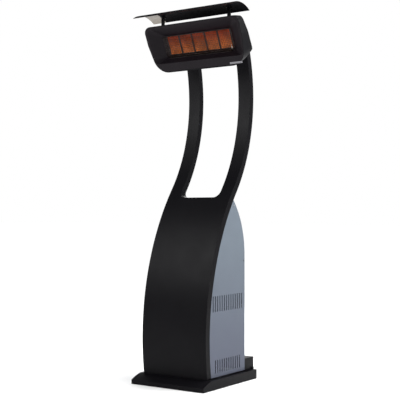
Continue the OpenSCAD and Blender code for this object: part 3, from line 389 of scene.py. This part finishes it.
def screen():
    """Two sets of wires that pass over and under each other, in a rim."""
    mesh = bmesh.new()
    columns = int(2 * SCREEN_X / PITCH)
    rows = int((SCREEN_HIGH - SCREEN_LOW) / PITCH)
    for i in range(columns + 1):
        x = -SCREEN_X + 2 * SCREEN_X * i / columns
        tube(mesh, [
            on_head(x, SCREEN_IN + WIRE * math.cos(math.pi * (i + k / STEPS)),
                    SCREEN_LOW + (SCREEN_HIGH - SCREEN_LOW) * k / (rows * STEPS))
            for k in range(rows * STEPS + 1)
        ], WIRE, WIRE_SIDES)
    for j in range(rows + 1):
        z = SCREEN_LOW + (SCREEN_HIGH - SCREEN_LOW) * j / rows
        tube(mesh, [
            on_head(-SCREEN_X + 2 * SCREEN_X * k / (columns * STEPS),
                    SCREEN_IN - WIRE * math.cos(math.pi * (j + k / STEPS)), z)
            for k in range(columns * STEPS + 1)
        ], WIRE, WIRE_SIDES)
    corners = [(-SCREEN_X, SCREEN_LOW), (SCREEN_X, SCREEN_LOW), (SCREEN_X, SCREEN_HIGH),
               (-SCREEN_X, SCREEN_HIGH)]
    for a, b in zip(corners, corners[1:] + corners[:1]):
        tube(mesh, [on_head(a[0], SCREEN_IN, a[1]), on_head(b[0], SCREEN_IN, b[1])], RIM,
             RIM_SIDES)
    finish_piece("screen_weave", mesh, "head", "screen_wire", ["mesh_screen"])


screen()

# Pan-head screws with a cross recess
SCREW_HEAD = [(0.95, 0.0), (1.0, 0.12), (0.95, 0.42), (0.72, 0.62), (0.3, 0.72)]
SCREW_TOP = 0.72
RECESS = 0.55
RECESS_W = 0.2
RECESS_D = 0.1
SCREW_SIDES = 20


def screws(name, body, slot, spots, radius):
    """Screw heads at (point, outward direction) spots, as one piece."""
    mesh = bmesh.new()
    for point, outward in spots:
        turn = Vector(outward).normalized().to_track_quat("Z", "Y").to_matrix().to_4x4()
        place = Matrix.Translation(point) @ turn
        lathe(mesh, [(r * radius, z * radius) for r, z in SCREW_HEAD], place, SCREW_SIDES)
        for quarter in (0.0, math.pi / 2):
            bar = bmesh.ops.create_cube(mesh, size=1.0)["verts"]
            shape = (Matrix.Rotation(quarter, 4, "Z")
                     @ Matrix.Diagonal((radius * 2 * RECESS, radius * RECESS_W, radius * RECESS_D, 1.0)))
            lift = Matrix.Translation((0, 0, radius * SCREW_TOP))
            bmesh.ops.transform(mesh, matrix=place @ lift @ shape, verts=bar)
    return finish_piece(name, mesh, body, slot)


# ---- details ----------------------------------------------------------------
SIDES = (-1, 1)
CONTROL_LEAN = math.radians(18.0)
CROWN = Vector((0.0, -0.298, 0.785))
CROWN_R = 0.5
PANEL_OUT = 0.003
CABINET_BACK = 0.202


def on_controls(x, up_panel, out):
    """A point of the control panel: across, up along it, and out of the rear cover."""
    radial = Vector((0, math.cos(CONTROL_LEAN), math.sin(CONTROL_LEAN)))
    rise = Vector((0, -math.sin(CONTROL_LEAN), math.cos(CONTROL_LEAN)))
    return CROWN + Vector((x, 0, 0)) + radial * (CROWN_R + out) + rise * up_panel


def cover_spot(x, angle):
    """A point on the curved rear cover, and the direction out of it."""
    out = Vector((0, math.cos(angle), math.sin(angle)))
    return CROWN + Vector((x, 0, 0)) + out * CROWN_R, out


def facing_back(points, y):
    """Spots at (x, z) points on a face that looks backwards."""
    return [(Vector((x, y, z)), (0, 1, 0)) for x, z in points]


# Corners of the control panel
FASCIA_SCREW_X, FASCIA_SCREW_UP = 0.066, 0.032
panel_out = on_controls(0, 0, 1) - on_controls(0, 0, 0)
screws("control_panel_screws", "stand", "dark_screw",
       [(on_controls(sx * FASCIA_SCREW_X, sz * FASCIA_SCREW_UP, PANEL_OUT), panel_out)
        for sx in SIDES for sz in SIDES], 0.0036)

# Edges of the rear cover and of the sill under the door
COVER_SCREW_X = 0.222
COVER_SCREW_ANGLES = (1.5, 20, 38)
SILL_SCREW_HEIGHTS = (0.075, 0.128)
COVER_SCREW_R = 0.0042
screws("rear_cover_screws", "stand", "dark_screw",
       [cover_spot(sx * COVER_SCREW_X, math.radians(angle))
        for sx in SIDES for angle in COVER_SCREW_ANGLES], COVER_SCREW_R)
screws("rear_sill_screws", "stand", "dark_screw",
       facing_back([(sx * COVER_SCREW_X, z) for sx in SIDES for z in SILL_SCREW_HEIGHTS],
                   CABINET_BACK), COVER_SCREW_R)

# Hinge leaves and handle of the door
HINGE_SCREW_X = -0.2175
HINGE_HEIGHTS = (0.25, 0.63)
HINGE_SCREW_RISE = 0.007
HINGE_LEAF_BACK = 0.205
HANDLE_X, HANDLE_Z = 0.19, 0.44
HANDLE_HALF = 0.065
screws("hinge_screws", "door", "dark_screw",
       facing_back([(HINGE_SCREW_X, z + dz) for z in HINGE_HEIGHTS
                    for dz in (-HINGE_SCREW_RISE, HINGE_SCREW_RISE)], HINGE_LEAF_BACK), 0.0024)
screws("handle_feet", "door", "satin_steel",
       facing_back([(HANDLE_X, HANDLE_Z + HANDLE_HALF), (HANDLE_X, HANDLE_Z - HANDLE_HALF)],
                   CABINET_BACK), 0.0088)

# Rear edges of the side panels
SIDE_PANEL_X = 0.235
EDGE_SCREW_Y, EDGE_SCREW_Z = 0.192, 0.744
screws("side_edge_screws", "stand", "dark_screw",
       [(Vector((side * SIDE_PANEL_X, EDGE_SCREW_Y, EDGE_SCREW_Z)), (side, 0, 0))
        for side in SIDES], 0.0045)

# Back of the burner housing, and the yoke on it
HOUSING_BACK = 0.118
HOUSING_SCREW_X = (-0.25, -0.165, 0.165, 0.25)
HOUSING_SCREW_UP = (0.094, 0.224)
YOKE_T = 0.003
YOKE_SCREW_X = 0.09
YOKE_SCREW_UP = (0.1, 0.14)
head_out = on_head(0, 1, 0) - on_head(0, 0, 0)
screws("housing_screws", "head", "dark_screw",
       [(on_head(x, HOUSING_BACK, z), head_out)
        for x in HOUSING_SCREW_X for z in HOUSING_SCREW_UP], 0.0038)
screws("yoke_screws", "head", "dark_screw",
       [(on_head(sx * YOKE_SCREW_X, HOUSING_BACK + YOKE_T, z), head_out)
        for sx in SIDES for z in YOKE_SCREW_UP], 0.0046)

KNOB_X = -0.035
KNOB_TOP = 0.0262
POINTER_START, POINTER_STEP, POINTER_STEPS = 0.003, 0.0016, 8
POINTER_CROWN = 0.0004
POINTER_R = 0.0009


def knob_pointer():
    """A raised line along the knob's top."""
    mesh = bmesh.new()
    path = [
        on_controls(KNOB_X, POINTER_START + POINTER_STEP * k,
                    KNOB_TOP + POINTER_CROWN * math.sin(math.pi * k / POINTER_STEPS))
        for k in range(POINTER_STEPS + 1)
    ]
    tube(mesh, path, POINTER_R, 8)
    finish_piece("knob_pointer", mesh, "knob", "pale_plastic")


knob_pointer()

MARKS = 9
MARK_START, MARK_SWEEP = 90, 210
MARK_INNER, MARK_OUTER, MARK_GROWTH = 0.0262, 0.0282, 0.003
MARK_R, MARK_R_GROWTH = 0.00045, 0.00005
MARK_LIFT = 0.0001


def dial_marks():
    """A rising scale round the knob: marks that grow from low to high."""
    mesh = bmesh.new()
    for i in range(MARKS):
        turn = math.radians(MARK_START - MARK_SWEEP * i / (MARKS - 1))
        outer = MARK_OUTER + MARK_GROWTH * i / (MARKS - 1)
        path = [
            on_controls(KNOB_X + r * math.cos(turn), r * math.sin(turn), PANEL_OUT + MARK_LIFT)
            for r in (MARK_INNER, outer)
        ]
        tube(mesh, path, MARK_R + MARK_R_GROWTH * i, 6)
    finish_piece("dial_marks", mesh, "stand", "pale_plastic")


dial_marks()

LEAD_X, LEAD_IN, LEAD_UP = 0.232, 0.051, 0.097
LEAD_BOW = 0.004
LEAD_RUN = 0.006
LEAD_R = 0.0016
LEAD_STEPS = 16


def spark_lead():
    """The short insulated lead at the electrode's foot."""
    mesh = bmesh.new()
    path = []
    for k in range(LEAD_STEPS + 1):
        t = k / LEAD_STEPS
        bow = LEAD_BOW * math.sin(math.pi * t)
        path.append(on_head(LEAD_X + bow, LEAD_IN + LEAD_RUN * t, LEAD_UP - bow))
    tube(mesh, path, LEAD_R, 8)
    finish_piece("spark_lead", mesh, "head", "white_ceramic")


spark_lead()


# ---- lights, floor and surroundings ----------------------------------------------
def area(name, at, target, size, watts):
    """A soft rectangular light that the camera doesn't see."""
    data = bpy.data.lights.new(name, "AREA")
    data.shape = "RECTANGLE"
    data.size, data.size_y = size
    data.energy = watts
    obj = bpy.data.objects.new(name, data)
    obj.location = at
    obj.rotation_euler = (Vector(target) - Vector(at)).to_track_quat("-Z", "Y").to_euler()
    scene.collection.objects.link(obj)
    obj.visible_camera = False


area("key", at=(-2.4, -3.6, 3.1), target=(0.0, -0.1, 1.0), size=(1.6, 2.2), watts=90.0)
area("side", at=(1.9, 0.7, 2.5), target=(0.2, 0.0, 1.3), size=(1.2, 1.2), watts=44.0)
area("back", at=(-1.5, 3.6, 2.8), target=(0.0, 0.0, 1.2), size=(2.0, 2.0), watts=70.0)

SKY_ENERGY = 2.95
SKY_SPREAD = math.radians(50.0)
SKY_TURN = (math.radians(-12.0), math.radians(14.0), 0)
sun_data = bpy.data.lights.new("sky_light", "SUN")
sun_data.energy = SKY_ENERGY
sun_data.angle = SKY_SPREAD
sun = bpy.data.objects.new("sky_light", sun_data)
sun.rotation_euler = SKY_TURN
scene.collection.objects.link(sun)

# Soft light from all round, in front of a white background
FILL = 0.24
FLOOR_HALF = 60.0
world = bpy.data.worlds.new("surroundings")
scene.world = world
world.use_nodes = True
tree = world.node_tree
tree.nodes.clear()
world_out = tree.nodes.new("ShaderNodeOutputWorld")
lit = tree.nodes.new("ShaderNodeBackground")
lit.inputs["Color"].default_value = (0.98, 0.99, 1.0, 1.0)
lit.inputs["Strength"].default_value = FILL
seen = tree.nodes.new("ShaderNodeBackground")
seen.inputs["Color"].default_value = (1.0, 1.0, 1.0, 1.0)
seen.inputs["Strength"].default_value = 1.0
path = tree.nodes.new("ShaderNodeLightPath")
either = tree.nodes.new("ShaderNodeMixShader")
tree.links.new(path.outputs["Is Camera Ray"], either.inputs[0])
tree.links.new(lit.outputs[0], either.inputs[1])
tree.links.new(seen.outputs[0], either.inputs[2])
tree.links.new(either.outputs[0], world_out.inputs["Surface"])

floor_mesh = bmesh.new()
bmesh.ops.create_grid(floor_mesh, x_segments=1, y_segments=1, size=FLOOR_HALF)
floor_data = bpy.data.meshes.new("floor")
floor_mesh.to_mesh(floor_data)
floor_mesh.free()
floor = bpy.data.objects.new("floor", floor_data)
floor.location.z = cad_box[0][2]
scene.collection.objects.link(floor)
ground = Graph("floor_pale")
ground.set(Base_Color=ground.mix(ground.noise(3.0), (0.93, 0.93, 0.93), (0.96, 0.96, 0.96)),
           Roughness=0.9, Specular_IOR_Level=0.1)
floor.data.materials.append(ground.material)

scene.view_settings.view_transform = "Standard"
